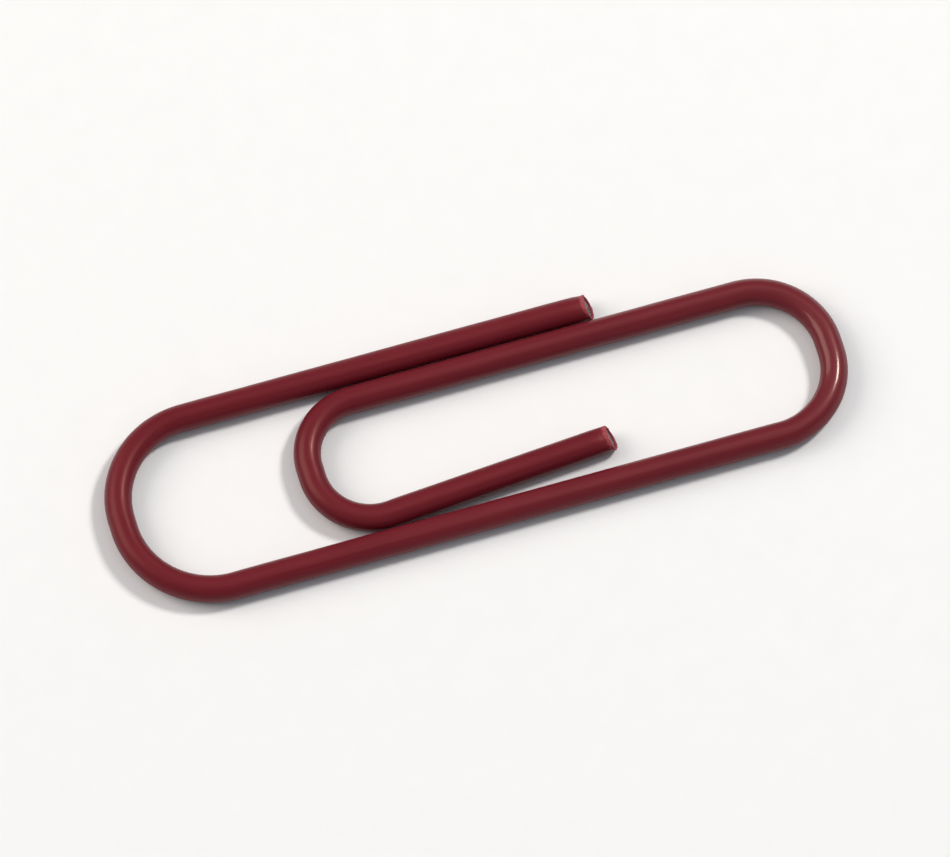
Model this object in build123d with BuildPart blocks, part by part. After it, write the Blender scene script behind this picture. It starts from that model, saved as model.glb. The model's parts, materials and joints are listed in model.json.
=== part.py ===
"""Paper clip bent from one length of vinyl-coated steel wire.

The wire runs from the outer cut end, round three bends, to the inner cut end:
outer leg, big bend, main leg, heel bend, tongue leg, inner bend, inner leg.
The clip grips because its bends twist, so the wire is kept as four stretches that meet
at the crowns of the bends, where the twist is a turn about the wire's own centreline.
Each stretch is a steel core inside its own length of vinyl coat.

The clip lies flat on Z = 0 with its length along X: the heel bend is at +X, the big bend
at -X, the outer leg on the +Y side and the main leg on the -Y side.
"""

import os
from math import radians, tan

from build123d import *

# Driving sizes, in millimetres
overall_length = 28.0  # outside of the big bend to outside of the heel bend
overall_width = 8.0  # outside of the outer leg to outside of the main leg
steel_diameter = 0.85  # bare drawn wire
coat_wall = 0.085  # vinyl skin round the wire
bond_clearance = 0.005  # radial room between the steel and the vinyl
leg_gap = 0.06  # clear space between legs that lie side by side
crown_length = 0.40  # straight stretch at the crown of each bend, where the wire twists
tongue_length = 20.8  # outside of the heel bend to outside of the inner bend
outer_end_setback = 8.6  # outside of the heel bend to the outer cut end
inner_end_setback = 9.3  # outside of the heel bend to the inner cut end
core_setback = 0.05  # steel behind the rim of its coat at a cut end
rim_round = 0.04  # rounding of the coat's rim at a cut end

# Driving angles, in degrees
inner_leg_lean = 4.0  # the inner leg swings away from the main leg towards its cut end
cut_slant = 18.0  # the sheared ends face upwards by this much

# Sizes that follow from them
steel_radius = steel_diameter / 2
bore_radius = steel_radius + bond_clearance
wire_radius = bore_radius + coat_wall
leg_pitch = 2 * wire_radius + leg_gap
half_crown = crown_length / 2
rim_radius = min(rim_round, 0.45 * coat_wall)

# Places of the legs, crowns and cut ends on the wire's centreline
heel_outside = overall_length / 2
heel_crown_x = heel_outside - wire_radius
big_crown_x = -heel_crown_x
inner_crown_x = heel_outside - tongue_length + wire_radius
outer_end_x = heel_outside - outer_end_setback
inner_end_x = heel_outside - inner_end_setback
outer_leg_y = overall_width / 2 - wire_radius
main_leg_y = -outer_leg_y
tongue_leg_y = outer_leg_y - leg_pitch
inner_leg_y = main_leg_y + leg_pitch

# Radii of the bends, each of them two round corners joined by the straight crown
big_bend_radius = (outer_leg_y - main_leg_y - crown_length) / 2
heel_bend_radius = (tongue_leg_y - main_leg_y - crown_length) / 2
inner_bend_radius = (tongue_leg_y - inner_leg_y - crown_length) / 2

wire_plane = Plane.XY.offset(wire_radius)
end_overrun = wire_radius  # wire drawn past a cut end, for the shear to take off


def shear_plane(end_point, leg_direction, behind=0.0):
    """Plane of a sheared end, facing along the leg and upwards, and set back along the leg if asked."""
    facing = leg_direction + Vector(0, 0, tan(radians(cut_slant)))
    return Plane(origin=end_point - leg_direction * behind, z_dir=facing)


def steel_core(route, cut_end=None):
    """Steel of one stretch of wire, sheared off behind the coat's rim where the stretch has a cut end."""
    with BuildPart() as core:
        with BuildSketch(Plane(origin=route @ 0, z_dir=route % 0)):
            Circle(steel_radius)
        sweep(path=route)
        if cut_end:
            split(bisect_by=shear_plane(*cut_end, behind=core_setback), keep=Keep.BOTTOM)
    return core.part


def vinyl_coat(route, cut_end=None):
    """Vinyl tube of one stretch of wire, with a rounded rim where the stretch has a cut end."""
    with BuildPart() as coat:
        with BuildSketch(Plane(origin=route @ 0, z_dir=route % 0)):
            Circle(wire_radius)
            Circle(bore_radius, mode=Mode.SUBTRACT)
        sweep(path=route)
        if cut_end:
            rim_plane = shear_plane(*cut_end)
            split(bisect_by=rim_plane, keep=Keep.BOTTOM)
            rim = coat.faces().filter_by(rim_plane)[0]
            fillet(rim.edges(), rim_radius)
    return coat.part


# Outer leg: from its cut end to the crown of the big bend
with BuildLine(wire_plane) as outer_leg:
    outer_straight = Line((outer_end_x + end_overrun, outer_leg_y), (big_crown_x + big_bend_radius, outer_leg_y))
    outer_corner = JernArc(outer_straight @ 1, outer_straight % 1, big_bend_radius, 90)
    outer_crown = PolarLine(outer_corner @ 1, half_crown, direction=outer_corner % 1)
outer_cut_end = (Vector(outer_end_x, outer_leg_y, wire_radius), Vector(1, 0, 0))

# Main leg: from the crown of the big bend to the crown of the heel bend
with BuildLine(wire_plane) as main_leg:
    main_start = PolarLine(outer_crown @ 1, half_crown, direction=outer_crown % 1)
    main_corner = JernArc(main_start @ 1, main_start % 1, big_bend_radius, 90)
    main_straight = Line(main_corner @ 1, (heel_crown_x - heel_bend_radius, main_leg_y))
    heel_corner = JernArc(main_straight @ 1, main_straight % 1, heel_bend_radius, 90)
    heel_crown = PolarLine(heel_corner @ 1, half_crown, direction=heel_corner % 1)

# Tongue leg: from the crown of the heel bend to the crown of the inner bend
with BuildLine(wire_plane) as tongue_leg:
    tongue_start = PolarLine(heel_crown @ 1, half_crown, direction=heel_crown % 1)
    tongue_corner = JernArc(tongue_start @ 1, tongue_start % 1, heel_bend_radius, 90)
    tongue_straight = Line(tongue_corner @ 1, (inner_crown_x + inner_bend_radius, tongue_leg_y))
    inner_corner = JernArc(tongue_straight @ 1, tongue_straight % 1, inner_bend_radius, 90)
    inner_crown = PolarLine(inner_corner @ 1, half_crown, direction=inner_corner % 1)

# Inner leg: from the crown of the inner bend to its cut end, leaning off the main leg
with BuildLine(wire_plane) as inner_leg:
    inner_start = PolarLine(inner_crown @ 1, half_crown, direction=inner_crown % 1)
    inner_turn = JernArc(inner_start @ 1, inner_start % 1, inner_bend_radius, 90 + inner_leg_lean)
    inner_run = (inner_end_x - (inner_turn @ 1).X) / (inner_turn % 1).X
    PolarLine(inner_turn @ 1, inner_run + end_overrun, direction=inner_turn % 1)
inner_cut_end = (inner_turn @ 1 + (inner_turn % 1) * inner_run, inner_turn % 1)

stretches = {
    "outer_leg": (outer_leg.line, outer_cut_end),
    "main_leg": (main_leg.line, None),
    "tongue_leg": (tongue_leg.line, None),
    "inner_leg": (inner_leg.line, inner_cut_end),
}

os.makedirs("parts", exist_ok=True)
for name, (route, cut_end) in stretches.items():
    core = steel_core(route, cut_end)
    core.label = f"{name}_core"
    export_step(core, f"parts/{core.label}.step")
    coat = vinyl_coat(route, cut_end)
    coat.label = f"{name}_coat"
    export_step(coat, f"parts/{coat.label}.step")
    print(f"{name}: steel {core.volume:.2f} mm3, vinyl {coat.volume:.2f} mm3")
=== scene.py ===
"""Dresses a paper clip of vinyl-coated steel wire and sets it on a pale floor in soft studio light.

The wire is followed as one line: from the outer cut end, round the big bend, along the main leg,
round the heel bend, along the tongue, round the inner bend and up to the inner cut end. Every piece
is first modelled as if the wire were straight, with one axis along it and two across it, and is then
bent along that line. The vinyl skin has one length for each leg that moves, and the lengths meet at
the crowns of the bends.
"""

import json
import logging
from dataclasses import dataclass
from enum import Enum
from math import ceil, cos, hypot, pi, radians, sin, tan

import bpy
import numpy as np
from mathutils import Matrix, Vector


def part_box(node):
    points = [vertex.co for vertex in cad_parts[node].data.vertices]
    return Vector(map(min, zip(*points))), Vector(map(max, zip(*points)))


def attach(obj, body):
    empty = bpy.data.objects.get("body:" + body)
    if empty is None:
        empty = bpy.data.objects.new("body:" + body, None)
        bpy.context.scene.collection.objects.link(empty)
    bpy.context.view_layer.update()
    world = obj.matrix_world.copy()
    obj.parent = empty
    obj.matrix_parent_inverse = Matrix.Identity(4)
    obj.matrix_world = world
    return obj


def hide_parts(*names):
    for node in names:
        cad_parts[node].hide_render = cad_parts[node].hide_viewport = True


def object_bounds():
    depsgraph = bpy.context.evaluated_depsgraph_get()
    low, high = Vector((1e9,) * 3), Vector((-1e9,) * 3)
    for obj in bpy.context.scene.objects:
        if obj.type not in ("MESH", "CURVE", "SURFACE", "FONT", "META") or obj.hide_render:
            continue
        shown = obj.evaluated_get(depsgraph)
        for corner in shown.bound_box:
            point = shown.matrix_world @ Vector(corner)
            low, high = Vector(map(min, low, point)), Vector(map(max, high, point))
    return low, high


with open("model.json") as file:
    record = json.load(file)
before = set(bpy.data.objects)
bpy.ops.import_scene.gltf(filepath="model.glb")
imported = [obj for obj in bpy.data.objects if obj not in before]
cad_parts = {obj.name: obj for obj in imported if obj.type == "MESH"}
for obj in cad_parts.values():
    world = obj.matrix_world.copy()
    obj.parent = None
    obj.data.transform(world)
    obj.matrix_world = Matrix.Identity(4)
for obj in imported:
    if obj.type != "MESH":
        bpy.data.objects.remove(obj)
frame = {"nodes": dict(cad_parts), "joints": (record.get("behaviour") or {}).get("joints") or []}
cad_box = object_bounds()

Object = bpy.types.Object
Material = bpy.types.Material
Array = np.ndarray
Colour = tuple[float, float, float, float]
Ring = tuple[Array, Array]  # points round the wire, and three values of a mark at each of them

LOG = logging.getLogger("paper_clip")
MM = 0.001  # metres in a millimetre
AROUND = 72  # points round the wire
ANGLES = np.arange(AROUND) * 2 * pi / AROUND  # their angles, from the wire's left, over its top


class Leg(Enum):
    """The legs of the clip in their order along the wire, named as the bodies that move."""

    OUTER = "outer_leg"
    MAIN = "main_leg"
    TONGUE = "tongue_leg"
    INNER = "inner_leg"

    @property
    def coat(self) -> str:
        """Name of the solid that holds the leg's vinyl."""
        return f"{self.value}_coat"

    @property
    def core(self) -> str:
        """Name of the solid that holds the leg's steel."""
        return f"{self.value}_core"


class Slot(Enum):
    """The record's material slots."""

    VINYL = "vinyl"
    STEEL = "steel"


class RunKind(Enum):
    """Kinds of run along the wire, each with the spacing of the rings on it, in millimetres."""

    END = 0.06
    STRAIGHT = 0.30
    CORNER = 0.10
    CROWN = 0.05


def ease(share: Array) -> Array:
    """Turn a share of a way, held between 0 and 1, into one that starts and ends gently."""
    held = np.clip(share, 0.0, 1.0)
    return held * held * (3 - 2 * held)


def box_mm(node: str) -> tuple[Array, Array]:
    """Lowest and highest corner of a solid, in millimetres."""
    low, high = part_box(node)
    return np.array(low) / MM, np.array(high) / MM


@dataclass(frozen=True)
class WireSizes:
    """Sizes of the coated wire, in millimetres and radians.

    Attributes:
        wire_radius: outside of the vinyl.
        steel_radius: outside of the steel.
        bond_clearance: room between the steel and the vinyl.
        crown_length: straight stretch at the crown of each bend.
        core_setback: how far the steel stands behind the vinyl's rim at a cut end.
        end_zone: length of leg over which the rings lean into a cut end.
        lean: angle of the inner leg off the main leg.
        cut_slant: angle by which the cut ends face upwards.
    """

    wire_radius: float
    steel_radius: float
    bond_clearance: float = 0.005
    crown_length: float = 0.40
    core_setback: float = 0.05
    end_zone: float = 1.2
    lean: float = radians(4.0)
    cut_slant: float = radians(18.0)

    @classmethod
    def from_frame(cls) -> "WireSizes":
        """Read the wire's two radii off the main leg's solids.

        Returns:
            The wire's sizes.
        """
        coat_low, coat_high = box_mm(Leg.MAIN.coat)
        core_low, core_high = box_mm(Leg.MAIN.core)
        return cls((coat_high[2] - coat_low[2]) / 2, (core_high[2] - core_low[2]) / 2)

    @property
    def bore_radius(self) -> float:
        """Inside of the vinyl."""
        return self.steel_radius + self.bond_clearance


@dataclass(frozen=True)
class Run:
    """One straight or evenly curved run of the wire.

    Attributes:
        kind: what the run is.
        length: length along the wire, in millimetres.
        turn: how far the wire turns to its left on the way, in radians.
    """

    kind: RunKind
    length: float
    turn: float = 0.0


class WireRoute:
    """The wire's centreline, measured along it from the outer cut end, in millimetres."""

    bend_fade = 0.9  # length over which a bend's marks set in
    least_stretch = 1e-6  # shortest stretch that gets a ring of its own

    def __init__(self, start: Array, heading: float, runs: list[Run]) -> None:
        """Lay the runs one after the other.

        Args:
            start: the middle of the outer cut end, as x, y and z.
            heading: direction of the wire there, in radians from the x axis.
            runs: the runs in order.
        """
        self.runs = runs
        self.height = start[2]
        self.starts = np.cumsum([0.0] + [run.length for run in runs])
        self.headings = heading + np.cumsum([0.0] + [run.turn for run in runs])
        self.curvatures = np.array([run.turn / run.length for run in runs])
        points = [np.array(start[:2])]
        for run, facing in zip(runs, self.headings):
            points.append(points[-1] + self._chord(facing, run.turn, run.length))
        self.points = np.array(points)

    @staticmethod
    def _chord(facing: Array, turn: Array, length: Array) -> Array:
        """Step from the start to the end of an evenly curved run.

        Args:
            facing: direction at its start.
            turn: how far it turns to the left.
            length: its length.

        Returns:
            The step, with x and y on the last axis.
        """
        middle = facing + turn / 2
        straight = length * np.sinc(turn / 2 / pi)
        return np.stack([straight * np.cos(middle), straight * np.sin(middle)], axis=-1)

    @property
    def length(self) -> float:
        """Length of the whole wire."""
        return float(self.starts[-1])

    @property
    def crowns(self) -> list[float]:
        """Places of the middles of the crowns."""
        return [
            float(start + run.length / 2)
            for start, run in zip(self.starts, self.runs)
            if run.kind is RunKind.CROWN
        ]

    def span(self, leg: Leg) -> tuple[float, float]:
        """Find a leg on the wire.

        Args:
            leg: the leg.

        Returns:
            The places where it begins and ends.
        """
        marks = [0.0, *self.crowns, self.length]
        order = list(Leg).index(leg)
        return marks[order], marks[order + 1]

    def stations(self, first: float, last: float) -> Array:
        """Places of the rings between two places, spaced by the kind of run.

        Args:
            first: place of the first ring.
            last: place of the last ring.

        Returns:
            The places in order.
        """
        places = [first]
        for start, run in zip(self.starts, self.runs):
            low = max(first, start)
            high = min(last, start + run.length)
            if high - low > self.least_stretch:
                count = ceil((high - low) / run.kind.value)
                places.extend(np.linspace(low, high, count + 1)[1:])
        return np.array(places)

    def bend_share(self, place: Array) -> Array:
        """How far a bend's marks have set in.

        Args:
            place: places along the wire.

        Returns:
            A share for each place, from 0 on the straight legs to 1 within a bend.
        """
        share = np.zeros_like(place)
        for start, run in zip(self.starts, self.runs):
            if run.kind in (RunKind.CORNER, RunKind.CROWN):
                share += ease((place - start) / self.bend_fade + 0.5)
                share -= ease((place - start - run.length) / self.bend_fade + 0.5)
        return share

    def bend(self, straight: Array) -> Array:
        """Bend points that were modelled on a straight wire.

        Args:
            straight: points, with the place along the wire, the offset to the wire's left and the
                offset upwards on the last axis.

        Returns:
            The points in the clip's own frame.
        """
        place, left, up = np.moveaxis(straight, -1, 0)
        index = np.clip(np.searchsorted(self.starts, place, side="right") - 1, 0, len(self.runs) - 1)
        along = place - self.starts[index]
        turn = self.curvatures[index] * along
        facing = self.headings[index]
        middle = self.points[index] + self._chord(facing, turn, along)
        x = middle[..., 0] - left * np.sin(facing + turn)
        y = middle[..., 1] + left * np.cos(facing + turn)
        return np.stack([x, y, self.height + up], axis=-1)


def follow_wire(sizes: WireSizes) -> WireRoute:
    """Work out the wire's route from the solids' extents and the joints' places.

    Args:
        sizes: the wire's own sizes.

    Returns:
        The route, from the outer cut end to the inner one.
    """
    pivots = {joint["name"]: np.array(joint["pos_m"]) / MM for joint in frame["joints"]}
    big = pivots["big_bend_twist"]
    heel = pivots["heel_bend_twist"]
    inner = pivots["inner_bend_twist"]
    half_crown = sizes.crown_length / 2
    outer_y = box_mm(Leg.OUTER.coat)[1][1] - sizes.wire_radius
    tongue_y = box_mm(Leg.TONGUE.coat)[1][1] - sizes.wire_radius
    big_radius = outer_y - big[1] - half_crown
    heel_radius = tongue_y - heel[1] - half_crown
    inner_radius = tongue_y - inner[1] - half_crown

    slope = tan(sizes.cut_slant)
    outer_tip = sizes.steel_radius * slope
    outer_end = box_mm(Leg.OUTER.core)[1][0] + sizes.core_setback - outer_tip
    inner_tip = sizes.steel_radius * hypot(slope * cos(sizes.lean), sin(sizes.lean))
    inner_end = box_mm(Leg.INNER.core)[1][0] + sizes.core_setback * cos(sizes.lean) - inner_tip
    inner_start = inner[0] + inner_radius * (1 + sin(sizes.lean))
    inner_run = (inner_end - inner_start) / cos(sizes.lean)

    quarter = pi / 2
    crown = Run(RunKind.CROWN, sizes.crown_length)
    end_run = Run(RunKind.END, sizes.end_zone)
    big_corner = Run(RunKind.CORNER, big_radius * quarter, quarter)
    heel_corner = Run(RunKind.CORNER, heel_radius * quarter, quarter)
    inner_corner = Run(RunKind.CORNER, inner_radius * quarter, quarter)
    inner_turn = quarter + sizes.lean
    runs = [
        end_run,
        Run(RunKind.STRAIGHT, outer_end - sizes.end_zone - big[0] - big_radius),
        big_corner,
        crown,
        big_corner,
        Run(RunKind.STRAIGHT, heel[0] - heel_radius - big[0] - big_radius),
        heel_corner,
        crown,
        heel_corner,
        Run(RunKind.STRAIGHT, heel[0] - heel_radius - inner[0] - inner_radius),
        inner_corner,
        crown,
        Run(RunKind.CORNER, inner_radius * inner_turn, inner_turn),
        Run(RunKind.STRAIGHT, inner_run - sizes.end_zone),
        end_run,
    ]
    return WireRoute(np.array([outer_end, outer_y, big[2]]), pi, runs)


def circle(radius: Array) -> Array:
    """A ring's points across the wire, as offset to its left and offset upwards."""
    return np.stack([radius * np.cos(ANGLES), radius * np.sin(ANGLES)], axis=-1)


def ring_at(place: Array, across: Array) -> Array:
    """One ring of points, with its place along the wire put before its points across the wire."""
    return np.column_stack([place * np.ones(AROUND), across])


@dataclass(frozen=True)
class CutEnd:
    """A sheared end of the wire, rolled over at the top and drawn out to a burr at the bottom.

    Attributes:
        place: place of the middle of the cut along the wire.
        outward: 1 if the wire ends with the route, -1 if it ends where the route starts.
        sizes: the wire's sizes.
        phase: shift of the cut's unevenness, so that no two ends are alike.
        burr: how far the bottom edge is drawn out, in millimetres.
        roll: how far the top edge is pressed back.
        ragged: unevenness of the cut.
        ragged_waves: waves of that unevenness round the wire.
        neck: how far the blades squeeze the skin in behind the cut.
        neck_depth: depth behind the cut where it is squeezed most.
        neck_lobes: sides of the wire that are squeezed more than those between them.
        neck_share: share of the squeeze that differs from side to side.
        press: how far the upper blade presses the top of the rim down.
        press_reach: length of skin that it presses.
    """

    place: float
    outward: int
    sizes: WireSizes
    phase: float
    burr: float = 0.050
    roll: float = 0.020
    ragged: float = 0.013
    ragged_waves: tuple[int, ...] = (3, 8, 13)
    neck: float = 0.040
    neck_depth: float = 0.13
    neck_lobes: int = 3
    neck_share: float = 0.4
    press: float = 0.022
    press_reach: float = 0.16

    def edge(self) -> Array:
        """How far the cut's edge stands out beyond the plane of the cut.

        Returns:
            The distance at each angle round the wire.
        """
        low = np.clip(-np.sin(ANGLES), 0, 1) ** 3
        high = np.clip(np.sin(ANGLES), 0, 1) ** 2
        uneven = sum(np.sin(waves * ANGLES + waves * self.phase) for waves in self.ragged_waves) / 2
        return self.burr * low - self.roll * high + self.ragged * uneven

    def squeeze(self, depth: Array) -> Array:
        """How far the skin is squeezed in.

        Args:
            depth: depth behind the cut at each angle round the wire.

        Returns:
            The squeeze at each angle.
        """
        high = np.clip(np.sin(ANGLES), 0, 1) ** 2
        share = depth / self.neck_depth
        lobes = 1 - self.neck_share + self.neck_share * np.sin(self.neck_lobes * ANGLES + self.phase)
        necked = share * np.exp(1 - share) * lobes
        return self.neck * necked + self.press * high * np.exp(-depth / self.press_reach)

    def place_at(self, depth: Array, across: Array) -> Array:
        """Place along the wire of a ring's points at a depth behind the sheared surface.

        Args:
            depth: depth behind that surface.
            across: the points across the wire.

        Returns:
            The places, which follow the cut near it and stand square further back.
        """
        share = np.hypot(across[:, 0], across[:, 1]) / self.sizes.wire_radius
        slant = across[:, 1] * tan(self.sizes.cut_slant) - self.edge() * share**2
        return self.place - self.outward * (depth + slant * (1 - ease(depth / self.sizes.end_zone)))


def cut_ends(route: WireRoute, sizes: WireSizes) -> dict[Leg, CutEnd]:
    """The two sheared ends, by the leg that each of them is on."""
    return {
        Leg.OUTER: CutEnd(place=0.0, outward=-1, sizes=sizes, phase=0.4),
        Leg.INNER: CutEnd(place=route.length, outward=1, sizes=sizes, phase=2.9),
    }


@dataclass(frozen=True)
class WirePart:
    """What runs along the whole wire, in one piece for each leg.

    Attributes:
        route: the wire's centreline.
        sizes: the wire's sizes.
        ends: the sheared ends by leg.
    """

    route: WireRoute
    sizes: WireSizes
    ends: dict[Leg, CutEnd]

    sharp_angle = radians(50)  # angle from which an edge stays sharp

    def form(self, name: str, mark: str, rings: list[Ring], poles: bool) -> Object:
        """Make a closed mesh from rings round a straight wire, and bend it along the route.

        Args:
            name: the piece's name.
            mark: name of the rings' mark, which a finish reads.
            rings: the rings in order.
            poles: True if the first and last ring are drawn to a point, False if they are joined.

        Returns:
            The piece, in metres, in the clip's frame.
        """
        points = np.concatenate([ring for ring, _ in rings])
        marks = np.concatenate([values for _, values in rings])
        count = len(rings)
        last = count - 1 if poles else count
        faces = []
        for ring in range(last):
            here = ring * AROUND
            there = (ring + 1) % count * AROUND
            for step in range(AROUND):
                after = (step + 1) % AROUND
                faces.append((here + step, here + after, there + after, there + step))
        if poles:
            for ring, turned in ((0, True), (count - 1, False)):
                chosen = slice(ring * AROUND, (ring + 1) * AROUND)
                tip = len(points)
                points = np.vstack([points, points[chosen].mean(axis=0)])
                marks = np.vstack([marks, marks[chosen].mean(axis=0)])
                for step in range(AROUND):
                    edge = (ring * AROUND + step, ring * AROUND + (step + 1) % AROUND)
                    faces.append((tip, *reversed(edge)) if turned else (tip, *edge))
        mesh = bpy.data.meshes.new(name)
        mesh.from_pydata((self.route.bend(points) * MM).tolist(), [], faces)
        for key, values in ((mark, marks), ("wire_place", points)):
            layer = mesh.attributes.new(key, "FLOAT_VECTOR", "POINT")
            layer.data.foreach_set("vector", values.astype(np.float32).ravel())
        mesh.shade_smooth()
        mesh.set_sharp_from_angle(angle=self.sharp_angle)
        piece = bpy.data.objects.new(name, mesh)
        bpy.context.scene.collection.objects.link(piece)
        return piece

    def dress(self, piece: Object, leg: Leg, node: str, slot: Slot, material: Material) -> None:
        """Give a piece its finish and let it move with its leg.

        Args:
            piece: the piece.
            leg: the leg it is on.
            node: the solid that it stands for.
            slot: the record's slot for its material; not used.
            material: its finish.
        """
        piece.data.materials.append(material)
        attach(piece, leg.value)
        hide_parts(node)


@dataclass(frozen=True)
class VinylSkin(WirePart):
    """The extruded vinyl skin, in one length for each leg.

    Attributes:
        lump: depth of the slow unevenness left by the extruder, in millimetres.
        lump_rate: how fast it comes and goes along the wire, in radians to the millimetre.
        lump_wander: how far that rhythm wanders, in radians.
        wander_rate: how fast it wanders.
        lump_twist: how fast the unevenness turns round the wire.
        pinch: how far the bending tools flatten the inside of a bend.
        rim_round: rounding of the rim at a cut end.
        rim_steps: rings of that rounding.
        flat_steps: rings from it to the rim's inner edge.
        lip_round: rounding of the rim's inner edge.
        lip_steps: rings of that rounding.
        lip_cover: how far that edge is smeared in over the steel.
        film_foot: height above the centreline where the film that the blade drags over the steel ends.
        film_rag: raggedness of the film's lower edge.
        film_waves: waves of that raggedness round the wire, and how the cut's phase shifts them.
        film_corner: how sharply the film's lower edge turns into the rim's.
        film_least: least sine of an angle, which keeps the far ends of the film's edge finite.
        film_groove: depth of the marks that the blade leaves in the film.
        groove_waves: share of the wide and the fine marks, and their rates in radians to the millimetre.
        film_room: room between the film and the steel behind it.
        bruise_reach: length of skin that the shears have bruised.
        crown_relief: how far the bore stops short of a crown, so that only the skin's outer edges touch.
        facet_room: room in the bore for the facets of the steel's solids.
    """

    lump: float = 0.004
    lump_rate: float = 1.9
    lump_wander: float = 1.1
    wander_rate: float = 0.37
    lump_twist: float = 0.21
    pinch: float = 0.010
    rim_round: float = 0.034
    rim_steps: int = 6
    flat_steps: int = 6
    lip_round: float = 0.012
    lip_steps: int = 4
    lip_cover: float = 0.008
    film_foot: float = 0.28
    film_rag: float = 0.034
    film_waves: tuple[tuple[int, float], ...] = ((4, 1.0), (10, 2.3), (16, 3.1))
    film_corner: int = 6
    film_least: float = 0.02
    film_groove: float = 0.005
    groove_waves: tuple[tuple[float, float], tuple[float, float]] = ((0.3, 37.0), (0.2, 71.0))
    film_room: float = 0.010
    bruise_reach: float = 0.25
    crown_relief: float = 0.02
    facet_room: float = 0.004

    def wall(self, place: Array) -> Array:
        """Outer radius of the skin round the wire, nowhere more than its nominal one.

        Args:
            place: place along the wire of each point of a ring.

        Returns:
            The radius at each of the ring's angles.
        """
        rhythm = self.lump_rate * place + self.lump_wander * np.sin(self.wander_rate * place)
        slow = np.sin(rhythm) * np.cos(ANGLES - self.lump_twist * place)
        inside = np.clip(np.cos(ANGLES), 0, 1) ** 3
        dent = self.lump * (0.5 - 0.5 * slow) + self.pinch * self.route.bend_share(place) * inside
        return self.sizes.wire_radius - dent

    def wear(self, place: Array, cut: Array) -> Array:
        """The three kinds of wear at the points of a ring.

        Args:
            place: place along the wire of each point.
            cut: how much the shears have bruised each point.

        Returns:
            Wear on the inside and on the outside of the bends, and bruising.
        """
        share = self.route.bend_share(place)
        inside = share * np.clip(np.cos(ANGLES), 0, 1) ** 2
        outside = share * np.clip(-np.cos(ANGLES), 0, 1) ** 2
        return np.stack([inside, outside, cut], axis=-1)

    def wall_rings(self, leg: Leg, bore: bool) -> list[Ring]:
        """Rings of the skin's outside or of its bore, in order along the wire.

        Args:
            leg: the leg they are on.
            bore: True for the bore, False for the outside.

        Returns:
            Each ring's points and its wear.
        """
        first, last = self.route.span(leg)
        end = self.ends.get(leg)
        rim_room = 2 * self.rim_round
        if end and end.outward < 0:
            first += rim_room
        if end and end.outward > 0:
            last -= rim_room
        if bore:
            first += self.crown_relief
            last -= self.crown_relief
        made = []
        for station in self.route.stations(first, last):
            place = np.full(AROUND, station)
            radius = self.sizes.bore_radius + self.facet_room if bore else self.wall(place)
            cut = np.zeros(AROUND)
            if end:
                depth = np.abs(end.place - place)
                cut = np.exp(-(depth - rim_room) / self.bruise_reach)
                if not bore:
                    radius = radius - end.squeeze(depth)
                place = end.place_at(depth, circle(radius))
            made.append((ring_at(place, circle(radius)), self.wear(place, cut)))
        return made

    def film_edge(self, end: CutEnd) -> Array:
        """Inner edge of the rim at a cut end, with the film that the blade dragged over the steel.

        Args:
            end: the cut end.

        Returns:
            The edge's points across the wire: along the lip below, and along the film's foot above.
        """
        lip = self.sizes.bore_radius - self.lip_cover
        rag = sum(np.sin(waves * ANGLES + shift * end.phase) for waves, shift in self.film_waves)
        climb = np.clip(np.sin(ANGLES), self.film_least, 1)
        to_foot = (self.film_foot + self.film_rag * rag) / climb
        corner = self.film_corner
        return circle((lip**-corner + to_foot**-corner) ** (-1 / corner))

    def rim_rings(self, end: CutEnd) -> list[Ring]:
        """Rings of the rim at a cut end, from the outside to the bore.

        Args:
            end: the cut end.

        Returns:
            Each ring's points and its wear.
        """
        outside = self.wall(np.full(AROUND, end.place)) - end.squeeze(np.full(AROUND, self.rim_round))
        flat_from = circle(outside - self.rim_round)
        flat_to = self.film_edge(end)
        inward = (flat_to - flat_from) / np.linalg.norm(flat_to - flat_from, axis=1, keepdims=True)
        left = flat_to[:, 0]
        (wide, wide_rate), (fine, fine_rate) = self.groove_waves
        groove = 0.5 + wide * np.sin(wide_rate * left + end.phase) + fine * np.sin(fine_rate * left)
        profile = []
        for turn in np.linspace(0, pi / 2, self.rim_steps):
            across = circle(outside - self.rim_round * (1 - cos(turn)))
            profile.append((across, self.rim_round * (1 - sin(turn))))
        for share in np.linspace(0, 1, self.flat_steps + 2)[1:-1]:
            across = flat_from + (flat_to - self.lip_round * inward - flat_from) * share
            profile.append((across, self.film_groove * groove * sin(pi * share)))
        for turn in np.linspace(0, pi / 2, self.lip_steps):
            across = flat_to - self.lip_round * (1 - sin(turn)) * inward
            profile.append((across, self.lip_round * (1 - cos(turn))))
        back = self.sizes.core_setback - self.film_room
        profile.append((flat_to, back))
        profile.append((circle(self.sizes.bore_radius), back))
        made = []
        for across, behind in profile:
            place = end.place_at(behind * np.ones(AROUND), across)
            made.append((ring_at(place, across), self.wear(place, np.ones(AROUND))))
        return made

    def build(self, leg: Leg) -> Object:
        """Make the skin of one leg.

        Args:
            leg: the leg.

        Returns:
            The piece, closed all round.
        """
        outside = self.wall_rings(leg, bore=False)
        inside = self.wall_rings(leg, bore=True)[::-1]
        end = self.ends.get(leg)
        rim = self.rim_rings(end) if end else []
        if end and end.outward < 0:
            order = outside + inside + rim[::-1]
        else:
            order = outside + rim + inside
        return self.form(f"{leg.value}_vinyl", "wire_wear", order, poles=False)


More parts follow.
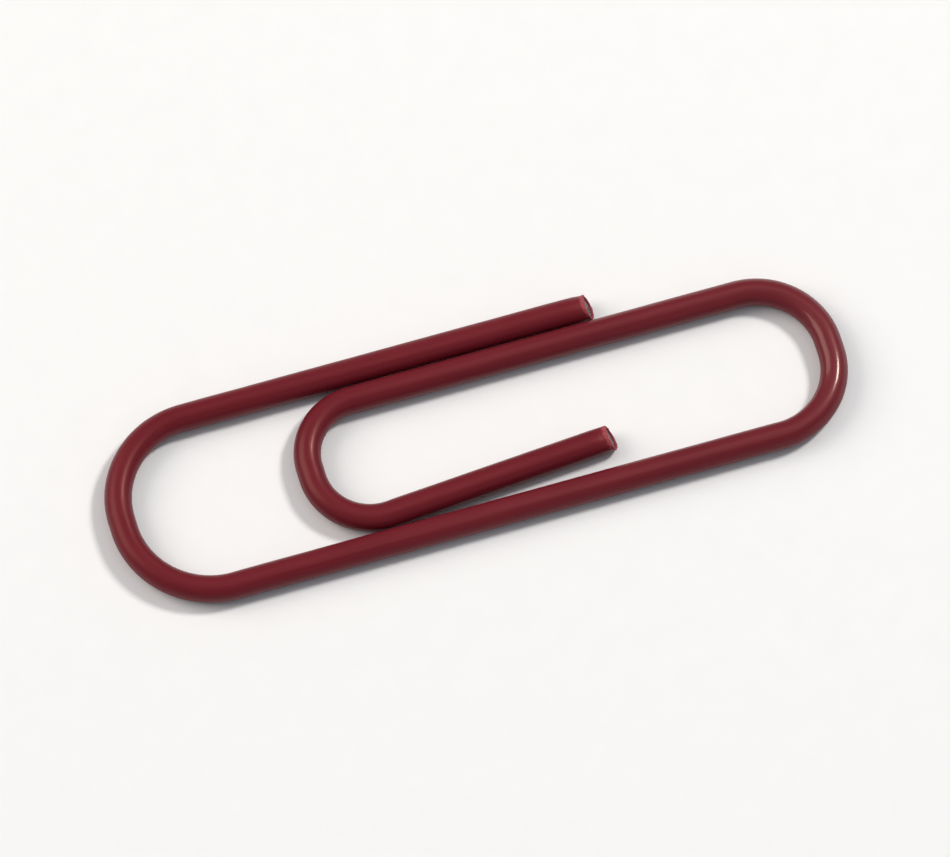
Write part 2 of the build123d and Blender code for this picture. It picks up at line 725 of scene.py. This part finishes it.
@dataclass(frozen=True)
class SteelWire(WirePart):
    """The drawn steel wire, whose sheared faces show at the two cut ends.

    Attributes:
        face_rings: rings from the edge of a sheared face to its middle.
        burnish_floor: height above the centreline where the blade's polished zone ends, in millimetres.
        border_wave: height of the waves where it ends, and their rate in radians to the millimetre.
        border_ripple: the same for the finer waves on them.
        border_fade: height over which the torn zone below sets in.
        tear: depth of the torn zone.
        grain: roughness of the torn zone.
        grain_left: rate of that roughness across the face, how far it wanders in radians, and how fast.
        grain_up: the same up the face.
        edge_round: rounding of the face's edge.
    """

    face_rings: int = 14
    burnish_floor: float = 0.10
    border_wave: tuple[float, float] = (0.03, 13.0)
    border_ripple: tuple[float, float] = (0.015, 31.0)
    border_fade: float = 0.05
    tear: float = 0.014
    grain: float = 0.006
    grain_left: tuple[float, float, float] = (47.0, 2.1, 23.0)
    grain_up: tuple[float, float, float] = (43.0, 1.7, 29.0)
    edge_round: float = 0.020

    def face_depth(self, end: CutEnd, radius: float) -> tuple[Array, Array]:
        """Shape of the sheared face on one of its rings.

        Args:
            end: the cut end.
            radius: the ring's radius.

        Returns:
            Depth behind the face's own plane, and the share of the torn zone, at each point.
        """
        left, up = circle(radius).T
        wave, wave_rate = self.border_wave
        ripple, ripple_rate = self.border_ripple
        border = self.burnish_floor + wave * np.sin(wave_rate * left + end.phase)
        border = border + ripple * np.sin(ripple_rate * left)
        torn = ease((border - up) / self.border_fade + 0.5)
        rate, wander, wander_rate = self.grain_left
        across = np.sin(rate * left + wander * np.sin(wander_rate * up + end.phase))
        rate, wander, wander_rate = self.grain_up
        upwards = np.sin(rate * up + wander * np.sin(wander_rate * left))
        to_edge = np.clip((radius - self.sizes.steel_radius + self.edge_round) / self.edge_round, 0, 1)
        return torn * (self.tear + self.grain * across * upwards) + self.edge_round * to_edge**2, torn

    def build(self, leg: Leg) -> Object:
        """Make the steel of a leg that has a cut end.

        Args:
            leg: the leg.

        Returns:
            The piece, closed all round.
        """
        end = self.ends[leg]
        steel = self.sizes.steel_radius
        first, last = self.route.span(leg)
        room = self.sizes.core_setback + 2 * self.edge_round
        if end.outward < 0:
            first += room
        else:
            last -= room
        plain = np.zeros((AROUND, 3))
        side = []
        for station in self.route.stations(first, last):
            place = end.place_at(np.full(AROUND, abs(end.place - station)), circle(steel))
            side.append((ring_at(place, circle(steel)), plain))
        face = []
        for radius in np.linspace(steel, steel / self.face_rings, self.face_rings):
            behind, torn = self.face_depth(end, radius)
            place = end.place_at(self.sizes.core_setback + behind, circle(radius))
            mark = np.stack([np.ones(AROUND), torn, np.zeros(AROUND)], axis=-1)
            face.append((ring_at(place, circle(radius)), mark))
        crown_place = first if end.outward > 0 else last
        crown = [(ring_at(crown_place, circle(steel / 2)), plain)]
        order = crown + side + face if end.outward > 0 else face[::-1] + side + crown
        return self.form(f"{leg.value}_steel", "shear_mark", order, poles=True)

    def dress_solid(self, leg: Leg, material: Material) -> Object:
        """Give the steel of a leg without a cut end its finish.

        Args:
            leg: the leg.
            material: the steel's finish.

        Returns:
            The solid's object.
        """
        solid = frame["nodes"][leg.core]
        solid.data.materials.clear()
        solid.data.materials.append(material)
        return solid


class Shade:
    """A shader socket that takes part in Python expressions."""

    def __init__(self, bench: "Bench", socket: bpy.types.NodeSocket) -> None:
        """Wrap an output socket of a bench's node."""
        self.bench = bench
        self.socket = socket

    def _math(self, operation: str, first: "Shade | float", second: "Shade | float") -> "Shade":
        """Add one Math node."""
        return self.bench.node("ShaderNodeMath", {"operation": operation}, {0: first, 1: second})

    def __add__(self, other: "Shade | float") -> "Shade":
        """Add a value."""
        return self._math("ADD", self, other)

    def __sub__(self, other: "Shade | float") -> "Shade":
        """Take a value away."""
        return self._math("SUBTRACT", self, other)

    def __rsub__(self, other: float) -> "Shade":
        """Take away from a number."""
        return self._math("SUBTRACT", other, self)

    def __mul__(self, other: "Shade | float") -> "Shade":
        """Multiply by a value."""
        return self._math("MULTIPLY", self, other)

    __radd__ = __add__
    __rmul__ = __mul__


Value = Shade | float | tuple[float, ...]


@dataclass(frozen=True)
class Grain:
    """One kind of unevenness in a finish.

    Attributes:
        stretch: its waves to the millimetre along each axis.
        detail: how many finer waves are added.
        ends: values of the noise between which it sets in, or None for the noise as it is.
        matt: how much it roughens the surface.
        relief: height of its bumps, in millimetres.
    """

    stretch: tuple[float, float, float]
    detail: float = 2.0
    ends: tuple[float, float] | None = None
    matt: float = 0.0
    relief: float = 0.0


class Bench:
    """Where one material's nodes are made."""

    def __init__(self, name: str) -> None:
        """Start a material that has only its surface shader.

        Args:
            name: the material's name.
        """
        self.material = bpy.data.materials.new(name)
        self.material.use_nodes = True
        self.tree = self.material.node_tree
        self.surface = self.tree.nodes["Principled BSDF"]

    def node(
        self,
        kind: str,
        settings: dict[str, object] | None = None,
        sockets: dict[str | int, Value] | None = None,
        output: int = 0,
    ) -> Shade:
        """Make a node.

        Args:
            kind: the node's type.
            settings: its settings, set before its sockets.
            sockets: values or links of its sockets.
            output: which of its outputs is wanted.

        Returns:
            That output.
        """
        made = self.tree.nodes.new(kind)
        for name, value in (settings or {}).items():
            setattr(made, name, value)
        self._plug(made, sockets or {})
        return Shade(self, made.outputs[output])

    def _plug(self, node: bpy.types.Node, sockets: dict[str | int, Value]) -> None:
        """Set or link the sockets of a node.

        Args:
            node: the node.
            sockets: values or links by socket.
        """
        for name, value in sockets.items():
            if isinstance(value, Shade):
                self.tree.links.new(value.socket, node.inputs[name])
            else:
                node.inputs[name].default_value = value

    def mark(self, name: str) -> Shade:
        """A mark of the mesh, as a vector."""
        return self.node("ShaderNodeAttribute", {"attribute_name": name}, output=1)

    def object_place(self) -> Shade:
        """Place on the object, in metres."""
        return self.node("ShaderNodeTexCoord", output=3)

    def split(self, vector: Shade) -> tuple[Shade, Shade, Shade]:
        """Take a vector apart.

        Args:
            vector: the vector.

        Returns:
            Its three parts.
        """
        parts = self.node("ShaderNodeSeparateXYZ", sockets={0: vector})
        outputs = parts.socket.node.outputs
        return Shade(self, outputs[0]), Shade(self, outputs[1]), Shade(self, outputs[2])

    def grain(self, place: Shade, grain: Grain, millimetre: float = 1.0) -> Shade:
        """Noise for one kind of unevenness.

        Args:
            place: where it is read.
            grain: the kind.
            millimetre: length of a millimetre in the unit of that place.

        Returns:
            Its value, from 0 to 1, with most of it near 0.5 where it has no ends.
        """
        stretch = tuple(waves / millimetre for waves in grain.stretch)
        stretched = self.node("ShaderNodeVectorMath", {"operation": "MULTIPLY"}, {0: place, 1: stretch})
        sockets = {"Vector": stretched, "Scale": 1.0, "Detail": grain.detail}
        noise = self.node("ShaderNodeTexNoise", sockets=sockets)
        return self.rise(noise, *grain.ends) if grain.ends else noise

    def rise(self, value: Shade, low: float, high: float) -> Shade:
        """Rise smoothly from 0 to 1 as a value goes from low to high."""
        sockets = {"Value": value, "From Min": low, "From Max": high}
        return self.node("ShaderNodeMapRange", {"interpolation_type": "SMOOTHSTEP"}, sockets)

    def blend(self, share: Value, first: Value, second: Value) -> Shade:
        """Mix two colours."""
        sockets = {0: share, 6: first, 7: second}
        return self.node("ShaderNodeMix", {"data_type": "RGBA"}, sockets, output=2)

    def bump(self, height: Shade) -> Shade:
        """Normal of a surface with a height in millimetres."""
        return self.node("ShaderNodeBump", sockets={"Strength": 1.0, "Distance": MM, "Height": height})

    def finish(self, sockets: dict[str | int, Value]) -> Material:
        """Close the material with its surface shader.

        Args:
            sockets: values and links of the shader's sockets.

        Returns:
            The material.
        """
        self._plug(self.surface, sockets)
        return self.material


@dataclass(frozen=True)
class VinylFinish:
    """Dark red extruded vinyl with a soft sheen, drawn along the wire and scuffed at the bends.

    Attributes:
        route: the wire's centreline.
        deep: colour where the pigment is dense.
        clear: colour where it is thinner.
        bruised: colour where the shears have stretched the vinyl pale.
        scuffed: colour of rubbed marks.
        sheen: tint of what the vinyl's body reflects straight back.
        index: refractive index of the vinyl's body.
        dull: roughness of that body.
        gloss: roughness of the glossy outermost layer.
        fresh: strength of that layer where the vinyl is untouched.
        polish: strength that handling adds at the heel, where the clip is pushed on to paper.
        fade: share of that polish that is gone at the inner bend.
        flank: height off the centreline up to which the wire's flanks stay dull, in millimetres.
        crest: height from which its top and underside are polished.
        drawn: streaks along the wire.
        fine: finer streaks.
        cloudy: clouds in the pigment.
        peel: dimples of the extruded skin.
        rubbed: rubbed marks.
        speck: stray specks.
        dragged: marks of the shears in torn vinyl.
        streaked: share of the pigment's variation in the streaks, where the clouds have the rest.
        layer_base: share of the glossy layer between the streaks.
        layer_streak: share that the streaks add.
        rub_leg: strength of the rubbed marks on the straight legs.
        rub_outside: strength that the outside of a bend adds.
        rub_inside: strength that the inside of a bend adds.
        rub_speck: strength of the specks.
        rub_cut: strength of the scuffing next to a cut.
        tear_rag: raggedness of the torn vinyl's border.
        tear_ends: amounts of bruising between which the vinyl tears.
        tear_matt: how much rougher torn vinyl is.
        tear_drag: share of torn vinyl's paleness in the marks of the shears.
    """

    route: WireRoute
    deep: Colour = (0.106, 0.0080, 0.0150, 1.0)
    clear: Colour = (0.145, 0.0110, 0.0205, 1.0)
    bruised: Colour = (0.350, 0.068, 0.092, 1.0)
    scuffed: Colour = (0.230, 0.035, 0.042, 1.0)
    sheen: Colour = (1.0, 0.50, 0.48, 1.0)
    index: float = 1.38
    dull: float = 0.39
    gloss: float = 0.15
    fresh: float = 0.01
    polish: float = 0.37
    fade: float = 0.9
    flank: float = 0.20
    crest: float = 0.36
    drawn: Grain = Grain((0.10, 7.0, 7.0), ends=(0.28, 0.72), matt=0.08, relief=0.0012)
    fine: Grain = Grain((0.35, 24.0, 24.0), relief=0.0006)
    cloudy: Grain = Grain((0.45, 1.3, 1.3), matt=0.10)
    peel: Grain = Grain((6.0, 6.0, 6.0), relief=0.0026)
    rubbed: Grain = Grain((1.1, 19.0, 19.0), 3.0, ends=(0.60, 0.74), matt=0.12, relief=-0.0015)
    speck: Grain = Grain((15.0, 15.0, 15.0), 1.0, ends=(0.70, 0.78))
    dragged: Grain = Grain((9.0, 20.0, 2.5), ends=(0.38, 0.62), relief=0.006)
    streaked: float = 0.35
    layer_base: float = 0.8
    layer_streak: float = 0.4
    rub_leg: float = 0.10
    rub_outside: float = 0.55
    rub_inside: float = 0.25
    rub_speck: float = 0.12
    rub_cut: float = 0.5
    tear_rag: float = 0.4
    tear_ends: tuple[float, float] = (0.62, 0.95)
    tear_matt: float = 0.15
    tear_drag: float = 0.45

    def make(self) -> Material:
        """Make the material.

        Returns:
            The vinyl.
        """
        bench = Bench("dark_red_vinyl")
        place = bench.mark("wire_place")
        along, _, up = bench.split(place)
        inside, outside, cut = bench.split(bench.mark("wire_wear"))
        big, heel, inner = self.route.crowns
        held = bench.rise(along, big, heel) * (1 - self.fade * bench.rise(along, heel, inner))
        handled = held * bench.rise(up * up, self.flank**2, self.crest**2)

        kinds = (self.drawn, self.fine, self.cloudy, self.peel, self.rubbed, self.speck, self.dragged)
        grains = [bench.grain(place, kind) for kind in kinds]
        drawn, fine, cloudy, peel, rubbed, speck, dragged = grains
        rubbing = self.rub_leg + self.rub_outside * outside + self.rub_inside * inside
        scuff = rubbed * rubbing + self.rub_speck * speck
        torn = bench.rise(cut + self.tear_rag * (peel - 0.5), *self.tear_ends)

        thin = self.streaked * drawn + (1 - self.streaked) * cloudy
        pale = torn * (1 - self.tear_drag + self.tear_drag * dragged)
        colour = bench.blend(thin, self.deep, self.clear)
        colour = bench.blend(scuff + self.rub_cut * cut * peel, colour, self.scuffed)
        colour = bench.blend(pale, colour, self.bruised)
        roughness = self.dull + self.drawn.matt * (drawn - 0.5) + self.cloudy.matt * (cloudy - 0.5)
        roughness = roughness + self.rubbed.matt * scuff + self.tear_matt * torn
        layer = (self.fresh + self.polish * handled) * (self.layer_base + self.layer_streak * drawn)
        height = self.drawn.relief * drawn + self.fine.relief * fine + self.peel.relief * peel
        height = height + self.rubbed.relief * rubbed + self.dragged.relief * torn * dragged
        return bench.finish({
            "Base Color": colour,
            "Roughness": roughness,
            "IOR": self.index,
            "Specular Tint": self.sheen,
            "Coat Weight": layer * (1 - torn),
            "Coat Roughness": self.gloss,
            "Normal": bench.bump(height),
        })


@dataclass(frozen=True)
class SteelFinish:
    """Drawn low-carbon steel, polished and torn where it was sheared.

    Attributes:
        bright: colour of drawn and burnished steel.
        dull: colour of torn steel.
        smooth: roughness of burnished steel.
        grain: coarse grain of torn steel.
        wiped: streaks that the blade wiped down the face.
        pitted: mottling of the face.
        torn_dark: how far torn steel goes from bright to dull.
        grain_dark: how much its grain adds to that.
        pit_dark: how much the mottling adds.
        side_dark: how much the streaks add on the wire's side.
    """

    bright: Colour = (0.36, 0.34, 0.315, 1.0)
    dull: Colour = (0.070, 0.064, 0.060, 1.0)
    smooth: float = 0.30
    grain: Grain = Grain((14.0, 14.0, 14.0), 3.0, matt=0.25, relief=0.008)
    wiped: Grain = Grain((26.0, 26.0, 1.5), matt=0.18, relief=0.003)
    pitted: Grain = Grain((9.0, 9.0, 5.0), ends=(0.38, 0.76))
    torn_dark: float = 0.20
    grain_dark: float = 0.5
    pit_dark: float = 0.8
    side_dark: float = 0.3

    def make(self) -> Material:
        """Make the material.

        Returns:
            The steel.
        """
        bench = Bench("drawn_steel")
        place = bench.object_place()
        face, torn, _ = bench.split(bench.mark("shear_mark"))
        grain = bench.grain(place, self.grain, MM)
        wiped = bench.grain(place, self.wiped, MM)
        pitted = bench.grain(place, self.pitted, MM)
        dark = torn * (self.torn_dark + self.grain_dark * grain) + self.pit_dark * face * pitted
        dark = dark + self.side_dark * (1 - face) * wiped
        roughness = self.smooth + self.wiped.matt * wiped + self.grain.matt * torn * grain
        height = self.wiped.relief * wiped + self.grain.relief * torn * grain
        return bench.finish({
            "Base Color": bench.blend(dark, self.bright, self.dull),
            "Metallic": 1.0,
            "Roughness": roughness,
            "Normal": bench.bump(height),
        })


@dataclass(frozen=True)
class FloorFinish:
    """Matt white card.

    Attributes:
        pale: colour of its fibres.
        shaded: colour between them.
        fibre: the fibres.
        matt: roughness of the card.
        index: refractive index of its surface.
    """

    pale: Colour = (0.82, 0.87, 0.93, 1.0)
    shaded: Colour = (0.79, 0.84, 0.90, 1.0)
    fibre: Grain = Grain((0.9, 0.9, 0.9), 3.0)
    matt: float = 0.9
    index: float = 1.3

    def make(self) -> Material:
        """Make the material.

        Returns:
            The card.
        """
        bench = Bench("white_card")
        fibre = bench.grain(bench.object_place(), self.fibre, MM)
        colour = bench.blend(fibre, self.pale, self.shaded)
        return bench.finish({"Base Color": colour, "Roughness": self.matt, "IOR": self.index})


@dataclass(frozen=True)
class Spot:
    """Where a light or the camera stands round the clip.

    Attributes:
        azimuth: compass direction from the clip, in degrees from -y towards +x.
        elevation: height above the horizon, in degrees.
        distance: distance from the clip, in metres.
    """

    azimuth: float
    elevation: float
    distance: float

    def stand(self, thing: Object, target: Vector) -> None:
        """Stand a light or the camera there.

        Args:
            thing: the light or camera.
            target: the clip's middle, which it faces.
        """
        turn = radians(self.azimuth)
        climb = radians(self.elevation)
        away = Vector((sin(turn) * cos(climb), -cos(turn) * cos(climb), sin(climb)))
        thing.location = target + away * self.distance
        thing.rotation_euler = away.to_track_quat("Z", "Y").to_euler()
        bpy.context.scene.collection.objects.link(thing)


@dataclass(frozen=True)
class Softbox:
    """One rectangular studio light.

    Attributes:
        name: its name.
        spot: where it stands.
        width: its width, in metres.
        height: its height, in metres.
        radiance: brightness of its face.
        colour: tint of its light.
    """

    name: str
    spot: Spot
    width: float
    height: float
    radiance: float
    colour: tuple[float, float, float] = (1.0, 1.0, 1.0)

    def build(self, target: Vector) -> None:
        """Make the light.

        Args:
            target: the clip's middle, which it faces.
        """
        light = bpy.data.lights.new(self.name, "AREA")
        light.color = self.colour
        light.shape = "RECTANGLE"
        light.size = self.width
        light.size_y = self.height
        light.energy = self.radiance * pi * self.width * self.height
        lamp = bpy.data.objects.new(self.name, light)
        lamp.visible_camera = False
        self.spot.stand(lamp, target)


@dataclass(frozen=True)
class Studio:
    """Floor, light and camera.

    Attributes:
        floor_radius: radius of the floor, in metres.
        floor_corners: corners of its round outline.
        viewpoint: where the camera stands.
        field: width of the picture at the clip, in metres.
        nearest: distance from which the camera sees, in metres.
        ambient: brightness of the dim room.
        room: colour of the room.
        lights: the softboxes.
    """

    floor_radius: float = 1.2
    floor_corners: int = 96
    viewpoint: Spot = Spot(azimuth=-16.6, elevation=67.0, distance=0.525)
    field: float = 0.035
    nearest: float = 0.01
    ambient: float = 0.28
    room: Colour = (1.0, 1.0, 1.0, 1.0)
    lights: tuple[Softbox, ...] = (
        Softbox(
            "left_softbox", Spot(azimuth=-118.5, elevation=38.4, distance=0.36),
            width=0.28, height=0.24, radiance=4.1, colour=(1.0, 0.86, 0.74),
        ),
        Softbox(
            "right_softbox", Spot(azimuth=106.0, elevation=50.0, distance=0.40),
            width=0.0714, height=0.0714, radiance=62.0, colour=(1.0, 0.92, 0.82),
        ),
        Softbox(
            "top_softbox", Spot(azimuth=163.4, elevation=81.0, distance=0.60),
            width=0.60, height=0.60, radiance=0.35,
        ),
    )

    def build_floor(self) -> Object:
        """Make the floor.

        Returns:
            A round sheet of card.
        """
        turns = [2 * pi * step / self.floor_corners for step in range(self.floor_corners)]
        rim = [(self.floor_radius * cos(turn), self.floor_radius * sin(turn), 0.0) for turn in turns]
        mesh = bpy.data.meshes.new("floor")
        mesh.from_pydata(rim, [], [tuple(range(self.floor_corners))])
        floor = bpy.data.objects.new("floor", mesh)
        bpy.context.scene.collection.objects.link(floor)
        mesh.materials.append(FloorFinish().make())
        return floor

    def light(self, target: Vector) -> None:
        """Set the lights and the dim room round them.

        Args:
            target: the clip's middle, which the lights face.
        """
        for softbox in self.lights:
            softbox.build(target)
        world = bpy.data.worlds.new("dim_room")
        world.use_nodes = True
        glow = world.node_tree.nodes["Background"]
        glow.inputs["Color"].default_value = self.room
        glow.inputs["Strength"].default_value = self.ambient
        bpy.context.scene.world = world
        bpy.context.scene.view_settings.view_transform = "Standard"

    def place_camera(self, target: Vector) -> None:
        """Set the camera at the photograph's viewing angle.

        Args:
            target: the clip's middle, which it faces.
        """
        camera = bpy.data.cameras.new("camera")
        camera.lens = camera.sensor_width * self.viewpoint.distance / self.field
        camera.clip_start = self.nearest
        viewer = bpy.data.objects.new("camera", camera)
        self.viewpoint.stand(viewer, target)
        bpy.context.scene.camera = viewer


def main() -> None:
    """Build and dress the clip, then set the studio."""
    logging.basicConfig(level=logging.INFO, format="%(name)s: %(message)s")
    sizes = WireSizes.from_frame()
    route = follow_wire(sizes)
    ends = cut_ends(route, sizes)
    LOG.info("wire of %.2f mm, %.2f mm thick", route.length, 2 * sizes.wire_radius)

    vinyl = VinylFinish(route).make()
    skin = VinylSkin(route, sizes, ends)
    for leg in Leg:
        piece = skin.build(leg)
        skin.dress(piece, leg, leg.coat, Slot.VINYL, vinyl)
        LOG.info("%s: %d faces", piece.name, len(piece.data.polygons))

    steel = SteelFinish().make()
    wire = SteelWire(route, sizes, ends)
    for leg in Leg:
        if leg in ends:
            piece = wire.build(leg)
            wire.dress(piece, leg, leg.core, Slot.STEEL, steel)
        else:
            piece = wire.dress_solid(leg, steel)
        LOG.info("%s: %d faces", piece.name, len(piece.data.polygons))

    target = (cad_box[0] + cad_box[1]) / 2
    studio = Studio()
    floor = studio.build_floor()
    LOG.info("%s: %d face", floor.name, len(floor.data.polygons))
    studio.light(target)
    studio.place_camera(target)


if __name__ == "__main__":
    main()
